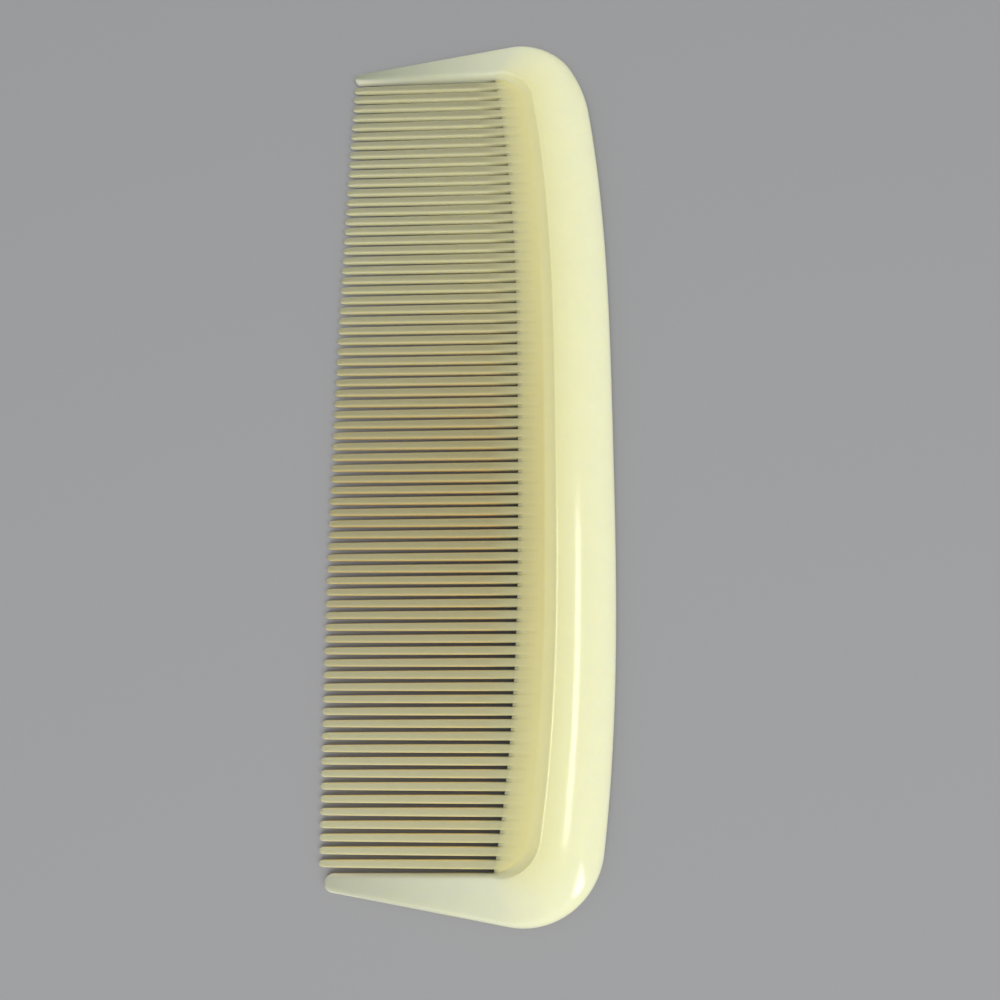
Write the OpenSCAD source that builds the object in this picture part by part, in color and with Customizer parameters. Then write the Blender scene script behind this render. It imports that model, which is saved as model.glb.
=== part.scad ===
// Dressing comb: one injection moulding with a row of fine teeth between two guards, one narrower
// than the other.
// X runs along the comb, Y from the tooth tips to the back, Z through its thickness.
// Both faces are alike, so each section is drawn as an upper half and mirrored downwards.

/* [Teeth] */
// Number of fine teeth between the two guards
tooth_count = 72; // [20:1:90]
// Distance from one tooth to the next
tooth_pitch = 2.2; // [1.8:0.05:4]
// Width of a slot at its closed end
slot_w = 0.6; // [0.4:0.05:1]
// Length of the slots at the middle of the comb
slot_len = 36.4; // [20:0.1:45]
// How far the slot ends curve towards the tips at the guards
slot_drop = 4.5; // [0:0.5:8]
// Where along the row the teeth reach furthest, from its middle towards the wide guard
tip_mid = 16; // [-30:1:30]
// How far the teeth's tips have curved back half a row away from there
tip_drop = 1.2; // [0:0.1:4]
// Thickness of a tooth at its root
tooth_root_t = 1.9; // [1.2:0.1:2.2]
// Thickness of a tooth where its tip starts
tooth_tip_t = 1.4; // [0.7:0.1:1.8]
// Width of a tooth where its tip starts
tooth_tip_w = 1.15; // [0.6:0.05:1.2]
// Length of the rounded tip of a tooth
tooth_point_len = 1.5; // [1:0.1:4]
// Width of the flat on a tooth's face, as a share of the tooth's width
tooth_land = 0.75; // [0.3:0.05:0.9]

/* [Web] */
// Thickness of the web that carries the teeth
web_t = 2.1; // [1.4:0.1:3]
// Thickness left at the closed end of a slot
slot_end_t = 1; // [0.6:0.1:1.8]
// Length of the grooves that run on from the slots into the web
groove_len = 4.4; // [1:0.1:4.6]
// Distance from the slot ends to the foot of the back's inner slope
web_w = 4.8; // [4.6:0.1:10]
// Radius of the recess's corners beside the guards
recess_r = 6; // [2:0.5:6]

/* [Back] */
// Distance from the furthest tooth tips to the back edge
comb_w = 54.8; // [52:0.1:70]
// Thickness of the back at the middle of its crown
back_t = 5.2; // [4:0.1:8]
// Width of the slope that climbs from the web to the back
slope_w = 2.5; // [1:0.1:4]
// Height that the crown gains above the slope's upper edge
crown_rise = 0.4; // [0:0.05:0.8]
// How far each face of the back falls from the middle of the comb to its corners
back_fall = 0.2; // [0:0.05:0.4]
// Width of the rounding along the back edge
back_round = 3.8; // [1:0.1:5]
// Angle of the back edge where its corners start
back_end_angle = 7.8; // [1:0.1:15]
// Radius of the back corner above the narrow guard
narrow_corner_r = 11.5; // [6:0.5:15]
// Radius with which that corner runs on into the back edge
narrow_shoulder_r = 28.5; // [15:0.5:35]
// Radius of the back corner above the wide guard
wide_corner_r = 14.5; // [6:0.5:17]
// Radius with which that corner runs on into the back edge
wide_shoulder_r = 14.5; // [14.5:0.5:35]

/* [Guards] */
// Width of the narrow guard where it joins the back
narrow_guard_w = 7.7; // [5:0.1:14]
// Width of the wide guard where it joins the back
wide_guard_w = 9.1; // [5:0.1:14]
// Width of the narrow guard's round tip
narrow_tip_w = 2.2; // [2:0.1:4]
// Width of the wide guard's round tip
wide_tip_w = 3.3; // [2:0.1:4]
// How far the guards' tips stop short of the furthest tooth tips
guard_stop = 1.9; // [0:0.1:4]
// Thickness of a guard where it joins the back
guard_root_t = 4.2; // [2.6:0.1:6]
// Thickness of a guard at its tip
guard_tip_t = 2.4; // [1.6:0.1:4]
// Width of the rounding along a guard's edges
guard_round = 1; // [0.4:0.1:1.4]
// How far a guard's inner edge draws back between its root and its tip
guard_relief = 0.2; // [0:0.05:1]

/* [Hidden] */

// Height of the narrow upright band that every rounded edge keeps at the parting plane
edge_land = 0.25;
// How far the web and the teeth reach into the piece that carries them
root_in = 1.5;
// How far the foot of the slope lies below the web's face, so that the two faces cross
foot_sink = 0.15;
// Power of the curves of the back edge and of the slot ends: flat in the middle, falling at the ends
bow_power = 3;
// Direction in which a corner's own arc hands over to its shoulder
corner_turn = 60;
// Steps along the back, round a corner, along a guard, round its tip and along the web
back_steps = 14;
corner_steps = 12;
guard_steps = 7;
tip_steps = 5;
web_steps = 36;
// Steps across a section: the inner slope, the crown and the outer rounding
slope_steps = 4;
crown_steps = 4;
round_steps = 5;

row_half = tooth_count*tooth_pitch/2;
guard_in_x = row_half + slot_w/2;

// Corner of the recess: its centre and the direction in which the foot of the slope arrives
recess_x = guard_in_x - recess_r;
recess_angle = atan(bow_power*slot_drop*pow(recess_x/row_half, bow_power - 1)/row_half);
foot_end_x = recess_x + recess_r*sin(recess_angle);
recess_y = foot_y(foot_end_x) - recess_r*cos(recess_angle);

function lerp(a, b, s) = a + (b - a)*s;
function polar(centre, r, angle) = centre + r*[cos(angle), sin(angle)];

// Plan curves: the slot ends, the tooth tips and the foot of the back's slope
function slot_end_y(x) = slot_len - slot_drop*pow(abs(x)/row_half, bow_power);
function tip_y(x) = tip_drop*pow((x - tip_mid)/row_half, 2);
function foot_y(x) = slot_end_y(x) + web_w;

// Height of the crown at distance d: mid_h on its ridge, falling to edge_h at reach from it
function crown(d, ridge, reach, edge_h, mid_h) = mid_h/(1 + (mid_h/edge_h - 1)*pow((d - ridge)/reach, 2));

// Upper half of a section as [distance, height] pairs from the inner edge to the outer one.
// The inner side is a hollow slope where it meets the web and a round edge on a guard: rim goes
// from 0 to 1 between the two. Then come the crown and the rounding of the outer edge.
function half_section(width, rim, in_w, out_w, edge_h, mid_h) = let (
    ridge = (in_w + width - out_w)/2,
    reach = ridge - in_w,
    foot = web_t/2 - foot_sink
) concat(
    [for (i = [0:slope_steps]) let (s = i/slope_steps) [
        in_w*lerp(s, 1 - cos(90*s), rim),
        lerp(lerp(foot, edge_h, s*s), lerp(edge_land, edge_h, sin(90*s)), rim)
    ]],
    [for (i = [1:crown_steps]) let (d = lerp(in_w, width - out_w, i/crown_steps))
        [d, crown(d, ridge, reach, edge_h, mid_h)]],
    [for (i = [1:round_steps]) let (a = 90*i/round_steps, d = width - out_w*(1 - sin(a)))
        [d, lerp(edge_land, crown(d, ridge, reach, edge_h, mid_h), cos(a))]]
);

// Closed ring of the section that stands on the plan line from inner to outer
function ring(inner, outer, half) = let (
    dir = (outer - inner)/norm(outer - inner),
    low = [for (i = [len(half) - 1:-1:0]) [half[i].x, -half[i].y]]
) [for (p = concat(half, low)) [inner.x + dir.x*p.x, inner.y + dir.y*p.x, p.y]];

// Section of the back with half thickness h; s runs from 0 on the back to 1 at the root of a guard
function back_ring(inner, outer, s, h) = ring(inner, outer, half_section(
    norm(outer - inner), s*s, lerp(slope_w, guard_round, s), lerp(back_round, guard_round, s),
    lerp(h - crown_rise, guard_root_t/2, s), lerp(h, guard_root_t/2, s)
));

// Section of a guard with half thickness h: flat faces, and edges rounded as far as its width allows
function guard_ring(inner, outer, h) = let (width = norm(outer - inner), w = min(guard_round, 0.4*width))
    ring(inner, outer, half_section(width, 1, w, w, h, h));

// Outline of a corner: its own arc, and past corner_turn the shoulder's arc, tangent to the first
function corner_at(corner, corner_r, shoulder_r, angle) = let (r = angle > corner_turn ? shoulder_r : corner_r)
    polar(polar(corner, corner_r - r, corner_turn), r, angle);

// Rings of one half, from the middle of the back to the tip of its guard. The back edge is bowed and
// meets the shoulder's arc at back_end_angle; the guard's outer edge is tangent to corner and tip.
function half_rings(corner_r, shoulder_r, root_w, tip_w) = let (
    corner_x = guard_in_x + root_w - corner_r,
    end_x = corner_x + (corner_r - shoulder_r)*cos(corner_turn) + shoulder_r*sin(back_end_angle),
    drop = end_x*tan(back_end_angle)/bow_power,
    corner_y = comb_w - drop - shoulder_r*cos(back_end_angle) - (corner_r - shoulder_r)*sin(corner_turn),
    corner = [corner_x, corner_y],
    tip_r = tip_w/2,
    tip = [guard_in_x + guard_relief + tip_r, guard_stop + tip_r],
    slant = asin((corner_r - tip_r)/norm(tip - corner)) - atan2(tip.x - corner.x, corner.y - tip.y)
) concat(
    [for (i = [0:back_steps]) let (s = i/back_steps, in_x = foot_end_x*s)
        back_ring([in_x, foot_y(in_x)], [end_x*s, comb_w - drop*pow(s, bow_power)], 0, back_t/2 - back_fall*s*s)],
    [for (i = [1:corner_steps]) let (s = i/corner_steps) back_ring(
        polar([recess_x, recess_y], recess_r, lerp(90 - recess_angle, 0, s)),
        corner_at(corner, corner_r, shoulder_r, lerp(90 - back_end_angle, -slant, s)), s, back_t/2 - back_fall)],
    [for (i = [1:guard_steps]) let (s = i/guard_steps) guard_ring(
        lerp([guard_in_x, recess_y], tip - [tip_r, 0], s),
        lerp(polar(corner, corner_r, -slant), polar(tip, tip_r, -slant), s),
        lerp(guard_root_t, guard_tip_t, s)/2)],
    // Round the tip the section gets narrower and lower, as the edge's own rounding does
    [for (i = [1:tip_steps]) let (
        a = 78*i/tip_steps,
        edge = min(1, tip_r*(1 - sin(a))/guard_round),
        h = lerp(edge_land, guard_tip_t/2, sqrt(1 - pow(1 - edge, 2)))
    ) guard_ring(polar(tip, tip_r, 180 + a), polar(tip, tip_r, -lerp(slant, 90, a/90)), h)]
);

narrow_rings = half_rings(narrow_corner_r, narrow_shoulder_r, narrow_guard_w, narrow_tip_w);
wide_rings = half_rings(wide_corner_r, wide_shoulder_r, wide_guard_w, wide_tip_w);

// Closed solid through rings that have the same number of points
module skin(rings) {
    n = len(rings[0]);
    top = n*(len(rings) - 1);
    polyhedron(
        points = [for (r = rings) each r],
        faces = concat(
            [[for (i = [n - 1:-1:0]) i]],
            [for (base = [0:n:top - n], i = [0:n - 1]) let (a = base + i, b = base + (i + 1) % n)
                each [[a, b, a + n], [b, b + n, a + n]]],
            [[for (i = [0:n - 1]) top + i]]
        )
    );
}

// Horseshoe of guard, corner, back, corner and guard
module back_and_guards() {
    skin(concat(
        [for (i = [len(narrow_rings) - 1:-1:1]) [for (p = narrow_rings[i]) [-p.x, p.y, p.z]]],
        wide_rings
    ));
}

// Thin plate between the back and the slots; its front edge slopes off, which makes the groove floors
module web() {
    half_l = guard_in_x + root_in;
    skin([for (i = [0:web_steps]) let (
        x = lerp(-half_l, half_l, i/web_steps),
        front = slot_end_y(min(abs(x), row_half))
    ) [
        [x, front, slot_end_t/2], [x, front + groove_len, web_t/2], [x, foot_y(x) + root_in, web_t/2],
        [x, foot_y(x) + root_in, -web_t/2], [x, front + groove_len, -web_t/2], [x, front, -slot_end_t/2]
    ]]);
}

// Six-sided section of a tooth: widest at the parting plane, with a flat on each face
function tooth_ring(x, y, w, t) = [for (side = [[-1, 0], [-tooth_land, 1], [tooth_land, 1], [1, 0],
    [tooth_land, -1], [-tooth_land, -1]]) [x + side.x*w/2, y, side.y*t/2]];

// One tooth: it runs on into the web, tapers slightly to its point and ends in a rounded tip
module tooth(x) {
    root_w = tooth_pitch - slot_w;
    root = slot_end_y(x);
    tip = tip_y(x);
    point = tip + tooth_point_len;
    skin([
        tooth_ring(x, root + groove_len - 0.2, root_w + 0.2, web_t - 0.1),
        tooth_ring(x, root, root_w, tooth_root_t),
        tooth_ring(x, lerp(point, root, 0.5), lerp(tooth_tip_w, root_w, 0.65), lerp(tooth_tip_t, tooth_root_t, 0.5)),
        tooth_ring(x, point, tooth_tip_w, tooth_tip_t),
        tooth_ring(x, lerp(tip, point, 0.3), 0.9*tooth_tip_w, 0.7*tooth_tip_t),
        tooth_ring(x, tip, 0.4*tooth_tip_w, 0.3*tooth_tip_t)
    ]);
}

module teeth() {
    for (i = [0:tooth_count - 1]) tooth((i + 0.5)*tooth_pitch - row_half);
}

// The whole moulding, with its crown's ridge on the ground and the origin under the middle of its outline
module comb() {
    color("lemonchiffon") translate([(narrow_guard_w - wide_guard_w)/2, -comb_w/2, back_t/2]) union() {
        back_and_guards();
        web();
        teeth();
    }
}

comb();
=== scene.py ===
"""Dressing comb in ivory plastic: one moulding with a row of fine teeth between two guards."""

import bpy
import numpy as np
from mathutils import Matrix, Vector


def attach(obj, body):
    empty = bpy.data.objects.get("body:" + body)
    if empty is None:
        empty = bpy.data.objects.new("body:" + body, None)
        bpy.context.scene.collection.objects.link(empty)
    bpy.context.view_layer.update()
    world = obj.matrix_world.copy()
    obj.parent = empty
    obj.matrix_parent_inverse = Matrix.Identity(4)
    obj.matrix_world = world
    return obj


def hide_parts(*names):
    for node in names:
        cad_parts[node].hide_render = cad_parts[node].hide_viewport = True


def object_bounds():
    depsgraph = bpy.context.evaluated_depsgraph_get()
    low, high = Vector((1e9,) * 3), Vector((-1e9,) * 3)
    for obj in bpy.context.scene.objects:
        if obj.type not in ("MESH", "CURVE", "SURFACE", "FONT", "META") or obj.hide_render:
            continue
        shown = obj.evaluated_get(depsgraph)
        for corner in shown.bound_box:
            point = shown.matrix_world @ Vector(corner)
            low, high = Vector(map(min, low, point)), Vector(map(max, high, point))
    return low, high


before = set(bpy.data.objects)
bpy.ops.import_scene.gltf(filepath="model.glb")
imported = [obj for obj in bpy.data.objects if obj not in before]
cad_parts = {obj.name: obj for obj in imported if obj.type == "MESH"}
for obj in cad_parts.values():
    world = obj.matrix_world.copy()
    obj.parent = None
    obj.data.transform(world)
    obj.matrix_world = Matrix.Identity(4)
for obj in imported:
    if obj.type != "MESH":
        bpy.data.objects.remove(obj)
cad_low, cad_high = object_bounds()

# ---------------------------------------------------------------- the teeth
# 72 fine teeth of the comb's one ivory moulding. They taper from root to tip in width and in
# thickness, their faces are flat with rounded edges, and each ends in a small round tip.

# Lengths are in millimetres: x along the comb from the middle of the row, y from the furthest
# tooth tips to the back, and z up from the parting plane in the middle of the thickness. Names
# in _w, _t, _h and _r are widths, thicknesses, heights and radii, and angles are in degrees
# unless they end in _rad.
MM = 0.001
tooth_count, tooth_pitch, slot_w, slot_len, slot_drop = 72, 2.2, 0.6, 36.4, 4.5
tip_mid, tip_drop = 16.0, 1.2
tooth_root_t, tooth_tip_t, tooth_tip_w, flank_tip_t = 1.9, 1.4, 1.15, 0.6
tip_round, tip_fullness, tip_thinning = 0.9, 2.2, 3.2
slot_end_t, bow_power, face_power, taper_power = 1.0, 3, 8, 0.4

# Each tint is the plastic's colour, and some carry painted light and shade. The flanks go
# from the first tint to the second between the two places in flank_span: a painted glow, pale
# towards the narrow end, turning into a painted brown bounce towards the wide one. A painted
# shade darkens the middle of the row by a bell curve, with its depth in red, green and blue,
# and a painted light lightens the teeth along the row towards the wide end.
tip_tint, root_tint = np.array([0.445, 0.44, 0.295]), np.array([0.435, 0.42, 0.25])
painted_flank_light, flank_span = np.array([[0.93, 0.90, 0.62], [0.88, 0.70, 0.33]]), (-45, 25)
mid_shade_depth, mid_shade_x, mid_shade_reach, row_painted_light = np.array([0.17, 0.22, 0.33]), 12, 42, 0.17

row_half = tooth_count * tooth_pitch / 2
tooth_half = (tooth_pitch - slot_w) / 2
tooth_x = (np.arange(tooth_count) + 0.5) * tooth_pitch - row_half
across_tooth = np.sin(np.linspace(-np.pi / 2, np.pi / 2, 9))
close_rows = 0.1


def lerp(a, b, s):
    """Straight blend from a to b by the share s."""
    return a + (b - a) * s


def ease(s):
    """Smooth step from 0 to 1 with level ends, held outside that span."""
    s = np.clip(s, 0, 1)
    return s * s * (3 - 2 * s)


def round_end(out, length, fullness=2):
    """Share of the full size at distance out from a rounded end, 1 from length on: a quarter
    circle with a fullness of 2, blunter with more."""
    return (1 - (1 - np.clip(out / length, 0, 1)) ** fullness) ** 0.5


def slot_end_y(x):
    """Closed ends of the slots: flat in the middle, falling with a power of x to the guards."""
    return slot_len - slot_drop * (np.abs(x) / row_half) ** bow_power


def tip_y(x):
    """Tooth tips: a shallow parabola, furthest out a little to the side of the middle."""
    return tip_drop * ((x - tip_mid) / row_half) ** 2


def tooth_section(s):
    """Height of a tooth's face over its width: 1 on the flat, falling as a superellipse to 0 at
    the flanks."""
    return (1 - np.abs(s) ** face_power) ** 0.5


def painted_mid_shade(x):
    """Painted shade along the row: 1 at the ends and, by a bell curve, darker and browner towards
    the middle of the row."""
    return 1 - mid_shade_depth * np.exp(-((x - mid_shade_x) / mid_shade_reach) ** 2)[:, None]


def tooth_sheets():
    """Upper sides of all teeth as one array of tooth, column across it and row from tip to root.
    Width and thickness grow with the distance from the tip; near it the width closes as a round
    end and the thickness as a longer one. The last axis holds x, y, z and the tint, with a painted
    glow on the thin flanks, paler towards the narrow end, and a painted brown bounce on those
    towards the wide one, painted shade towards the middle of the row and painted light that grows
    along the row."""
    # Ten rows close together over the first close_rows of the length, then six wider apart
    rows = np.concatenate([
        close_rows * np.linspace(0.03, 1, 10) ** 1.8, np.linspace(close_rows, 1, 7)[1:]])
    tip = tip_y(tooth_x)[:, None]
    root = slot_end_y(tooth_x[:, None] + tooth_half * across_tooth)
    y = lerp(tip[:, :, None], root[:, :, None], rows)
    out = y - tip[:, :, None]
    round_w = round_end(out, tip_round, tip_fullness)
    round_t = round_end(out, tip_thinning)
    half_w = lerp(tooth_tip_w / 2, tooth_half, rows ** taper_power) * round_w
    face = lerp(tooth_tip_t, tooth_root_t, rows) / 2 * round_t
    flank = lerp(flank_tip_t / 2, slot_end_t / 2, rows ** 2) * round_t
    section = tooth_section(across_tooth)[:, None]
    x = tooth_x[:, None, None] + half_w * across_tooth[:, None]
    z = lerp(flank, face, section)

    # Painted glow on the flanks towards the narrow end, painted brown bounce towards the wide one
    towards_wide = ease((tooth_x[:, None] - flank_span[0]) / (flank_span[1] - flank_span[0]))
    flank_light = lerp(*painted_flank_light, towards_wide)[:, None, None]
    tint = lerp(flank_light, lerp(tip_tint, root_tint, rows[:, None]), section[:, None] ** 2)
    # Painted shade in the middle of the row and painted light growing towards the wide end
    shade = painted_mid_shade(tooth_x) + row_painted_light * tooth_x[:, None] / row_half
    return np.concatenate([np.stack([x, y, z], -1), tint * shade[:, None, None]], -1)


# ---------------------------------------------------------------- the web
# The thin plate between the slots and the back, part of the same moulding. The tooth faces run on
# into it as low ridges, the slots as short grooves whose floors climb until both are level, and
# an arc beside each guard closes the recess.
web_t, groove_len, web_w, recess_r = 2.1, 4.4, 4.8, 6.0
first_len, first_rise = 0.25, 0.75  # shares of the grooves' length and climb in their steep step
slot_end_tint, web_tint = 1.15 * root_tint, np.array([0.73, 0.685, 0.335])
# The web takes a weaker share of the teeth's painted shade in the middle of the row
web_fade_power, web_mid_shade_power = 0.6, 0.5

guard_in_x = row_half + slot_w / 2
recess_x = guard_in_x - recess_r
slot_end_slope = bow_power * slot_drop * (recess_x / row_half) ** (bow_power - 1) / row_half
recess_angle = np.degrees(np.arctan(slot_end_slope))
foot_end_x = recess_x + recess_r * np.sin(np.radians(recess_angle))
recess_y = slot_end_y(foot_end_x) + web_w - recess_r * np.cos(np.radians(recess_angle))


def polar(centre, r, angle):
    """Points at distance r from a centre in the directions of angle, with x and y last."""
    a = np.radians(angle)
    return np.asarray(centre) + np.stack([r * np.cos(a), r * np.sin(a)], -1)


# Columns along the comb, shared by the web and the back: 9 on each tooth, 3 in each slot and a
# finer set where the arc of the recess comes down to a guard
slot_x = np.arange(1, tooth_count) * tooth_pitch - row_half
arc_start = np.degrees(np.arccos((row_half - slot_w / 2 - recess_x) / recess_r))
arc_x = polar((recess_x, recess_y), recess_r, np.linspace(arc_start, 0, 7)[1:])[:, 0]
columns = np.concatenate([
    (tooth_x[:, None] + tooth_half * across_tooth).ravel(),
    (slot_x[:, None] + slot_w * np.array([-0.25, 0, 0.25])).ravel(), arc_x, -arc_x])
ridges = np.zeros(columns.size)
ridges[:tooth_x.size * across_tooth.size] = np.tile(tooth_section(across_tooth), tooth_count)
order = np.argsort(columns)
columns, ridges = columns[order], ridges[order]

# Where each column starts, at the slot ends, and where it meets the foot of the back
arc_angle = np.degrees(np.arccos(np.clip((np.abs(columns) - recess_x) / recess_r, -1, 1)))
on_arc = np.abs(columns) > foot_end_x
foot = np.where(on_arc, recess_y + recess_r * np.sin(np.radians(arc_angle)),
                slot_end_y(columns) + web_w)
start = np.minimum(slot_end_y(columns), foot)


def web_height(ridge, e):
    """Half thickness of the web at distance e from the slot ends, between the groove floors,
    which climb in a short steep step and a long gentle one, and the ridges, which carry the tooth
    faces on to the web's own face."""
    along = e / groove_len
    climb = (first_rise * ease(along / first_len)
             + (1 - first_rise) * ease((along - first_len) / (1 - first_len)))
    groove = lerp(slot_end_t / 2, web_t / 2, climb)
    return lerp(groove, lerp(tooth_root_t / 2, web_t / 2, ease(along)), ridge)


def web_sheet():
    """Upper side of the web: its columns, and rows from the slot ends to the foot of the back."""
    rows = np.concatenate([np.linspace(0, 0.35, 7), np.linspace(0.35, 1, 7)[1:]])
    y = lerp(start[:, None], foot[:, None], rows)
    x = np.broadcast_to(columns[:, None], y.shape)
    z = web_height(ridges[:, None], y - start[:, None])
    tint = lerp(slot_end_tint, web_tint, rows[:, None] ** web_fade_power)
    # Weaker painted shade towards the middle of the row
    tint = painted_mid_shade(columns)[:, None] ** web_mid_shade_power * tint
    return np.concatenate([np.stack([x, y, z], -1), tint], -1)


# ---------------------------------------------------------------- the back and the guards
# The thick bowed back with its two round corners and the wedge-shaped guards, which shield the
# teeth. A section through the back is a hollow slope with a fine bead along its top, a crown and
# a wide outer rounding; towards the guards it turns into a flat bar with rounded edges.
slope_w, crown_rise, back_fall, back_round, back_end_angle = 2.5, 0.4, 0.2, 3.8, 7.8
bead_h, bead_w, edge_land = 0.1, 0.25, 0.25
guard_root_t, guard_tip_t, guard_round, guard_relief, guard_stop = 4.2, 2.4, 1.0, 0.2, 1.9

# An upright band of height edge_land on each face runs round the edges. The shoulder's arc hands
# over to the corner's in the direction corner_turn, a guard's round tip is drawn up to tip_sweep
# from its sides, and a rounding takes round_share of a width at most
corner_turn, tip_sweep, round_share = 60, 84, 0.4
narrow_end = {"corner_r": 11.5, "shoulder_r": 28.5, "root_w": 7.7, "tip_w": 2.2,
              "thin_tint": np.array([0.27, 0.30, 0.23])}
wide_end = {"corner_r": 14.5, "shoulder_r": 14.5, "root_w": 9.1, "tip_w": 3.3,
            "thin_tint": np.array([0.43, 0.44, 0.34])}

# The web's tint fades into the pale one of the thick back over pale_depth, a length for each
# colour; on the slope beside the web this darker tint is partly thinner plastic and partly painted
# shade of the recess. The bars darken towards their thin tips, with a painted glow on the rim
# that fades over rim_reach
pale_tint, pale_depth, thin_power = np.array([0.87, 0.88, 0.65]), np.array([3.5, 4, 6.5]), 0.8
painted_rim_glow, rim_w, rim_reach = np.array([0.97, 0.94, 0.78]), 0.6, 13

comb_w = (cad_high.y - cad_low.y) / MM
back_t = (cad_high.z - cad_low.z) / MM


def half_frame_sheet(corner_r, shoulder_r, root_w, tip_w, thin_tint):
    """Upper side of half the back with one corner and guard: stations from the middle of the back
    to the guard's tip, rows from the inner edge to the outer one. The back edge falls with a
    power of x and runs into the shoulder's arc, that into the corner's, and the guard's edge is
    tangent to the corner and to its round tip."""
    end_rad, handover_rad = np.radians(back_end_angle), np.radians(corner_turn)
    corner_x = guard_in_x + root_w - corner_r
    back_end_x = (corner_x + (corner_r - shoulder_r) * np.cos(handover_rad)
                  + shoulder_r * np.sin(end_rad))
    back_drop = back_end_x * np.tan(end_rad) / bow_power
    corner = np.array([corner_x, comb_w - back_drop - shoulder_r * np.cos(end_rad)
                       - (corner_r - shoulder_r) * np.sin(handover_rad)])
    tip_r = tip_w / 2
    tip = np.array([guard_in_x + guard_relief + tip_r, guard_stop + tip_r])
    run_x, run_y = tip[0] - corner[0], corner[1] - tip[1]
    slant = np.degrees(np.arcsin((corner_r - tip_r) / np.hypot(run_x, run_y))
                       - np.arctan2(run_x, run_y))

    # The back and the corner. Its list and the guard's hold the inner and the outer edge, the
    # share of flat bar, the widths of the slope and of the outer rounding, and the heights at the
    # crown's borders, on its ridge and at the inner edge
    mine = columns >= 0
    x, arc = columns[mine], on_arc[mine]
    turn = np.where(arc, 1 - arc_angle[mine] / (90 - recess_angle), 0)
    angle = lerp(90 - back_end_angle, -slant, turn)
    r = np.where(angle > corner_turn, shoulder_r, corner_r)
    bend = polar(polar(corner, corner_r - r, corner_turn), r, angle)
    out_x = x * back_end_x / foot_end_x
    bow = np.stack([out_x, comb_w - back_drop * (out_x / back_end_x) ** bow_power], -1)
    half_t = back_t / 2 - back_fall * np.clip(out_x / back_end_x, 0, 1) ** 2
    back = [np.stack([x, foot[mine]], -1), np.where(arc[:, None], bend, bow), turn ** 2,
            lerp(slope_w, guard_round, turn), lerp(back_round, guard_round, turn),
            lerp(half_t - crown_rise, guard_root_t / 2, turn),
            lerp(half_t, guard_root_t / 2, turn),
            web_height(ridges[mine], (foot - start)[mine])]

    # The guard: straight down from the corner, its inner edge thinned over the first third, then
    # round its tip
    s = np.linspace(0, 1, 17)[1:, None]
    sweep = tip_sweep * np.sin(np.linspace(0, np.pi / 2, 9)[1:])
    inner = np.vstack([
        lerp(np.array([guard_in_x, recess_y]), tip - [tip_r, 0], s),
        polar(tip, tip_r, 180 + sweep)])
    outer = np.vstack([
        lerp(polar(corner, corner_r, -slant), polar(tip, tip_r, -slant), s),
        polar(tip, tip_r, -lerp(slant, 90, sweep / 90))])
    tip_h = lerp(edge_land, guard_tip_t / 2,
                 round_end(tip_r * (1 - np.sin(np.radians(sweep))), guard_round))
    height = np.concatenate([lerp(guard_root_t, guard_tip_t, s[:, 0]) / 2, tip_h])
    round_w = np.minimum(guard_round, round_share * np.linalg.norm(outer - inner, axis=1))
    land = np.concatenate([
        lerp(slot_end_t / 2, edge_land, ease(3 * s[:, 0])), np.full(sweep.size, edge_land)])
    guard = [inner, outer, np.ones(height.size), round_w, round_w, height, height, land]

    inner, outer, *values = (np.concatenate(pair) for pair in zip(back, guard))
    width = np.linalg.norm(outer - inner, axis=1)[:, None]
    flat, rise_w, round_w, edge_h, mid_h, in_h = (v[:, None] for v in values)
    ridge = (rise_w + width - round_w) / 2

    def bead(d):
        """Bead on the top of the slope: a small bell curve, which fades out towards the bar."""
        return bead_h * (1 - flat) * np.exp(-((d - rise_w) / bead_w) ** 2)

    def crown(d):
        """Crown: mid_h on its ridge, falling with the square of the distance, and the bead."""
        fall = (mid_h / edge_h - 1) * ((d - ridge) / (ridge - rise_w)) ** 2
        return bead(d) + mid_h / (1 + fall)

    # Distances d from the inner edge, over the slope, over the crown and round the outer edge,
    # closest together where the surface bends most
    t = np.linspace(0, 1, 8)[None, :]
    slope_d = rise_w * lerp(1 - (1 - t) ** 1.4, 1 - np.cos(t * np.pi / 2), flat)
    slope_z = lerp(in_h, edge_h, lerp((slope_d / rise_w) ** 2, np.sin(t * np.pi / 2), flat))
    slope_z = slope_z + bead(slope_d)
    t = np.linspace(0, 1, 10)[None, 1:]
    crown_d = lerp(rise_w, width - round_w, lerp(t ** 2, t, flat))
    t = np.linspace(0, np.pi / 2, 8)[None, 1:]
    round_d = width - round_w * (1 - np.sin(t))
    d = np.hstack([slope_d, crown_d, round_d])
    z = np.hstack([slope_z, crown(crown_d), lerp(edge_land, crown(round_d), np.cos(t))])
    xy = inner[:, None] + (outer - inner)[:, None] * (d / width)[:, :, None]

    y = xy[:, :, 1:]
    # Partly painted shade: the slope beside the web keeps the web's darker tint
    back_tint = lerp(web_tint, pale_tint, 1 - np.exp(-d[:, :, None] / pale_depth))
    bar_tint = lerp(thin_tint, pale_tint, np.clip(y / comb_w, 0, 1) ** thin_power)
    # Painted glow along the edges of the bars, fading away from their tips
    at_glow_rim = np.clip(1 - np.minimum(d, width - d) / rim_w, 0, 1)[:, :, None]
    bar_tint = lerp(bar_tint, painted_rim_glow, at_glow_rim * np.exp(-y / rim_reach))
    tint = lerp(back_tint, bar_tint, flat[:, :, None])
    return np.concatenate([xy, z[:, :, None], tint], -1)


def frame_sheet():
    """The whole horseshoe: the narrow end turned over to the left, then the wide end."""
    narrow = half_frame_sheet(**narrow_end) * [-1, 1, 1, 1, 1, 1]
    return np.concatenate([narrow[:0:-1], half_frame_sheet(**wide_end)])


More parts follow.
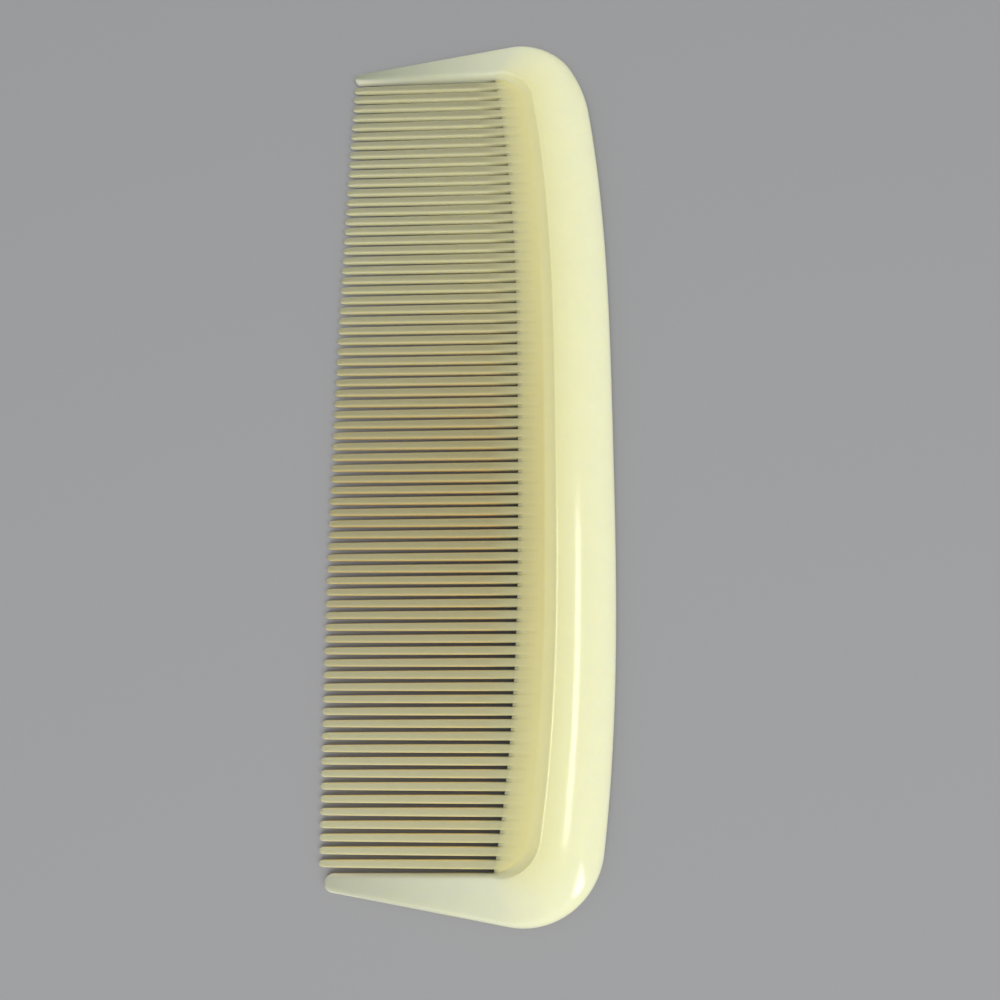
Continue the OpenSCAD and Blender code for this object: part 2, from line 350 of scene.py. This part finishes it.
# ---------------------------------------------------------------- the moulding
# Teeth, web, back and guards are one piece, moulded in a glossy ivory nylon that light enters.
# Both faces are alike, because the mould parts in the middle of the thickness: the upper side is
# turned over for the lower one, and a narrow upright band joins the two round every edge.


def grid_quads(shape, first):
    """Quads of a grid of points that starts at index first, facing up where x and y grow along
    it."""
    n = np.arange(shape[0] * shape[1]).reshape(shape) + first
    return np.stack([n[:-1, :-1], n[1:, :-1], n[1:, 1:], n[:-1, 1:]], -1).reshape(-1, 4)


def closed_skin(sheets):
    """Points, quads and tints of the closed skin: the sheets joined where their edges meet, the
    same turned over, and a quad from every open edge of the upper side to its twin below."""
    points = np.concatenate([g.reshape(-1, 6) for g in sheets])
    firsts = np.cumsum([0] + [g.shape[0] * g.shape[1] for g in sheets])
    quads = np.concatenate([grid_quads(g.shape[:2], n) for g, n in zip(sheets, firsts)])
    _, keep, merged = np.unique(
        np.round(points[:, :3], 4), axis=0, return_index=True, return_inverse=True)
    points, quads = points[keep], merged.ravel()[quads]
    a, b = quads.ravel(), np.roll(quads, -1, axis=1).ravel()
    a, b = a[a != b], b[a != b]
    n = len(points)
    open_edge = ~np.isin(a * n + b, b * n + a)
    a, b = a[open_edge], b[open_edge]
    band = np.stack([b, a, a + n, b + n], -1)
    both = np.vstack([points, points * [1, 1, -1, 1, 1, 1]])
    return both[:, :3], np.vstack([quads, quads[:, ::-1] + n, band]), both[:, 3:]


def add_mesh(name, points, quads):
    """Mesh object from points in metres and quads; a quad with a doubled corner becomes a
    triangle."""
    doubled = quads == np.roll(quads, -1, axis=1)
    faces = quads[~doubled.any(axis=1)].tolist()
    for k in range(4):
        mask = doubled[:, k] & (doubled.sum(axis=1) == 1)
        faces += np.roll(quads[mask], -k, axis=1)[:, 1:].tolist()
    mesh = bpy.data.meshes.new(name)
    mesh.from_pydata(points.tolist(), [], faces)
    mesh.validate()
    made = bpy.data.objects.new(name, mesh)
    bpy.context.scene.collection.objects.link(made)
    return made


class Socket:
    """A node's output, which adds Math nodes for + and *, with numbers on either side."""

    def __init__(self, tree, output):
        self.tree, self.output = tree, output

    @classmethod
    def of(cls, tree, kind, output, settings=(), sockets=()):
        """The named or numbered output of a new node, with its settings made first and then the
        values or links of its input sockets, by name or number."""
        made = tree.nodes.new(kind)
        for name, value in dict(settings).items():
            setattr(made, name, value)
        for key, value in dict(sockets).items():
            if isinstance(value, Socket):
                value.feed(made, key)
            else:
                made.inputs[key].default_value = value
        return cls(tree, made.outputs[output])

    def feed(self, node, key):
        """Links the output to an input of another node."""
        self.tree.links.new(self.output, node.inputs[key])

    def maths(self, operation, other):
        """Math node that works on this output and another one or a number."""
        return Socket.of(self.tree, "ShaderNodeMath", 0, {"operation": operation},
                         {0: self, 1: other})

    def __add__(self, other):
        return self.maths("ADD", other)

    def __mul__(self, other):
        return self.maths("MULTIPLY", other)

    __radd__, __rmul__ = __add__, __mul__


def ivory_nylon():
    """Pale ivory plastic: the tint of each place, with faint clouds in it, a gloss that is a
    little uneven and a face that is slightly wavy from the mould."""
    made = bpy.data.materials.new("ivory_nylon")
    made.use_nodes = True
    tree = made.node_tree
    shader = tree.nodes["Principled BSDF"]
    # The tint attribute holds the plastic's colour with the painted light and shade of the sheets
    tint = Socket.of(tree, "ShaderNodeAttribute", "Color", {"attribute_name": "tint"})
    place = Socket.of(tree, "ShaderNodeTexCoord", "Object")
    clouds = Socket.of(tree, "ShaderNodeTexNoise", "Fac", (),
                       {"Vector": place, "Scale": 260.0, "Detail": 4.0, "Roughness": 0.6})
    waves = Socket.of(tree, "ShaderNodeTexNoise", "Fac", (),
                      {"Vector": place, "Scale": 90.0, "Detail": 2.0, "Roughness": 0.5})
    shade = 0.97 + 0.06 * clouds
    grey = Socket.of(tree, "ShaderNodeCombineColor", 0, (),
                     {"Red": shade, "Green": shade, "Blue": shade})

    # A Mix node for colours has its colours in inputs 6 and 7 and its result in output 2
    colour = Socket.of(tree, "ShaderNodeMix", 2, {"data_type": "RGBA", "blend_type": "MULTIPLY"},
                       {"Factor": 1.0, 6: tint, 7: grey})
    gloss = 0.08 + 0.08 * waves
    bump = Socket.of(tree, "ShaderNodeBump", 0, (),
                     {"Strength": 0.12, "Distance": 0.0002, "Height": waves})
    colour.feed(shader, "Base Color")
    gloss.feed(shader, "Roughness")
    bump.feed(shader, "Normal")
    shader.inputs["IOR"].default_value = 1.53
    shader.inputs["Subsurface Weight"].default_value = 1.0
    shader.inputs["Subsurface Radius"].default_value = (1.0, 0.9, 0.5)
    shader.inputs["Subsurface Scale"].default_value = 0.0018
    return made


points, quads, tints = closed_skin([web_sheet(), *tooth_sheets(), frame_sheet()])
middle_x = (wide_end["root_w"] - narrow_end["root_w"]) / 2
moulding = add_mesh("ivory_moulding", (points + [-middle_x, -comb_w / 2, back_t / 2]) * MM, quads)
tint_layer = moulding.data.color_attributes.new("tint", "FLOAT_COLOR", "POINT")
tint_layer.data.foreach_set("color", np.column_stack([tints, np.ones(len(tints))]).ravel())
moulding.data.polygons.foreach_set("use_smooth", np.ones(len(moulding.data.polygons), bool))
moulding.data.set_sharp_from_angle(angle=np.radians(50))
moulding.data.materials.append(ivory_nylon())
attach(moulding, "root")
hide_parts("comb")

# ---------------------------------------------------------------- the floor
# A plain pale surface. The comb rests on it with the crown of its back and with its guard tips, so
# it is turned by that small angle about the long axis and passes through both. The insets are
# from the comb's two long edges to where it touches.
tip_inset, crown_inset, floor_gap, floor_half = 3.3 * MM, 7.4 * MM, 2e-5, 1.5
tip_rest_y, crown_rest_y = cad_low.y + tip_inset, cad_high.y - crown_inset
tip_rest_z = (back_t - guard_tip_t) / 2 * MM
lean = tip_rest_z / (tip_rest_y - crown_rest_y)
reach = floor_half * np.array([[-1, -1], [1, -1], [1, 1], [-1, 1]])
floor_z = lean * (reach[:, 1] - crown_rest_y) - floor_gap
floor = add_mesh("floor", np.column_stack([reach, floor_z]), np.array([[0, 1, 2, 3]]))
paint = bpy.data.materials.new("pale_floor")
paint.use_nodes = True
matt = paint.node_tree.nodes["Principled BSDF"]
matt.inputs["Base Color"].default_value = (0.33, 0.33, 0.335, 1)
matt.inputs["Roughness"].default_value = 0.9
floor.data.materials.append(paint)

# ---------------------------------------------------------------- the light
# An even pale sky, a lamp overhead that draws a line of light along the crown, a softbox on the
# wide end's side that isn't mirrored in the gloss, and a narrow window beyond the wide end and
# the back.
world = bpy.data.worlds.new("studio")
bpy.context.scene.world = world
world.use_nodes = True
sky = world.node_tree.nodes["Background"]
sky.inputs["Color"].default_value = (0.97, 0.98, 1.0, 1)
sky.inputs["Strength"].default_value = 0.42


def add_lamp(name, place, target, size, power):
    """Rectangular area lamp at place, facing target, with its sizes in metres and its power in
    watts."""
    data = bpy.data.lights.new(name, "AREA")
    data.shape, data.size, data.size_y, data.energy = "RECTANGLE", size[0], size[1], power
    made = bpy.data.objects.new(name, data)
    bpy.context.scene.collection.objects.link(made)
    made.rotation_euler = Vector(np.subtract(target, place)).to_track_quat("-Z", "Y").to_euler()
    made.location = place
    return made


add_lamp("overhead_lamp", place=(-0.01, 0.10, 1.0), target=(-0.01, 0.10, 0),
         size=(0.40, 0.13), power=0.95)
softbox = add_lamp("softbox", place=(0.80, -0.05, 1.5), target=(0, 0, 0),
                   size=(0.75, 0.75), power=13.6)
softbox.visible_glossy = False
add_lamp("window", place=(0.49, 0.53, 0.94), target=(0, 0, 0), size=(0.17, 0.56), power=2.4)

# ---------------------------------------------------------------- the camera
# Close above the wide half of the comb and tilted a little towards the narrow end, which is at
# the top of the view, with the back on the right.
camera_data = bpy.data.cameras.new("camera")
camera = bpy.data.objects.new("camera", camera_data)
bpy.context.scene.collection.objects.link(camera)
bpy.context.scene.camera = camera
camera_data.sensor_width, camera_data.lens = 36, 36
camera_data.clip_start, camera_data.clip_end = 0.01, 10
camera.location = (0.056078, 0.013729, 0.188773)
camera.rotation_euler = np.radians((13.491, 2.526, 90.015))
bpy.context.scene.view_settings.view_transform = "Standard"
